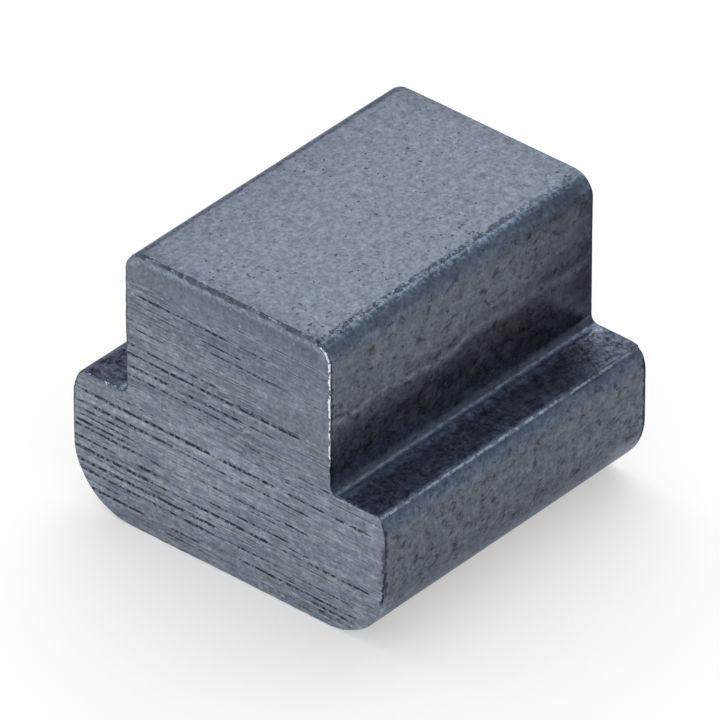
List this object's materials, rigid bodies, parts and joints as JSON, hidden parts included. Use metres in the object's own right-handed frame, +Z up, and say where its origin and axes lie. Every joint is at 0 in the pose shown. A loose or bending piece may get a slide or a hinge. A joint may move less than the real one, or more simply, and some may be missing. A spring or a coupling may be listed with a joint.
{
  "type": "t-slot nut blank",
  "caption": "Solid unthreaded T-slot nut blank: rounded T section sawn from drawn steel bar, with a narrow neck over a wide base that is held under the slot's lips.",
  "frame": {"origin": "centre of the flat underside, at mid length", "axes": "+Z up through the neck, +Y along the slot, +X across both flanges"},
  "size_m": [0.0148, 0.0142, 0.012],
  "materials": {
    "steel": "dark blue-grey drawn steel, semi-matt skin, sawn ends with fine saw lines"
  },
  "bodies": {
    "root": {"t_slot_nut": "steel"}
  },
  "joints": []
}
